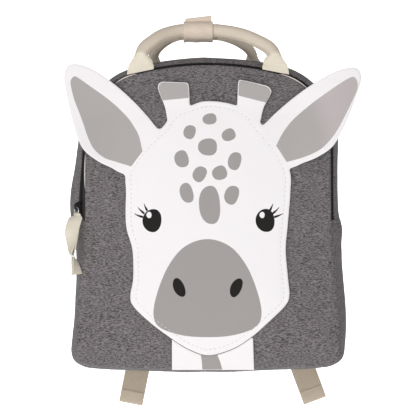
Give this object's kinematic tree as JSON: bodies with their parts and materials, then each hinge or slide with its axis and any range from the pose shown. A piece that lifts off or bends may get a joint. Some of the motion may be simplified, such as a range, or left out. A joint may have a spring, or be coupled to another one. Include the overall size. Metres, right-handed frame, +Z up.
{
  "type": "kids animal backpack",
  "caption": "D-shaped cloth backpack for a small child, with a giraffe's head with free ears sewn on the front, grab handles, zip, padded straps and webbing.",
  "frame": {"origin": "inside top of the grab handles under their wrap, where a hook or a hand carries the bag", "axes": "+Z up, the front with the giraffe's head faces -Y, +X to the viewer's right"},
  "size_m": [0.2972, 0.1614, 0.3918],
  "materials": {
    "marl_cloth": "heather grey woven cloth, dull",
    "white_canvas": "smooth printed white canvas with grey and black print",
    "cream_webbing": "cream cotton webbing, ribbed weave",
    "wrap_cloth": "pinkish beige cotton, soft",
    "beige_webbing": "beige woven webbing",
    "black_zip": "black woven zip tape with a nylon coil",
    "black_enamel": "black enamel, semi gloss",
    "black_plastic": "black moulded plastic, satin",
    "steel_wire": "bright steel wire"
  },
  "bodies": {
    "root": {"front_panel": "marl_cloth", "back_panel": "marl_cloth", "upper_gusset": "marl_cloth", "lower_gusset": "marl_cloth", "zip_band": "black_zip", "giraffe_head": "white_canvas", "neck_panel": "white_canvas", "handle_front": "cream_webbing", "handle_rear": "cream_webbing", "handle_wrap": "wrap_cloth", "zip_slider": "black_enamel", "pull_ring": "steel_wire", "pull_tab": "cream_webbing", "shoulder_strap_left": "marl_cloth", "shoulder_strap_right": "marl_cloth", "strap_buckle_left": "black_plastic", "strap_buckle_right": "black_plastic", "strap_webbing_left": "beige_webbing", "strap_webbing_right": "beige_webbing"}
  },
  "joints": []
}
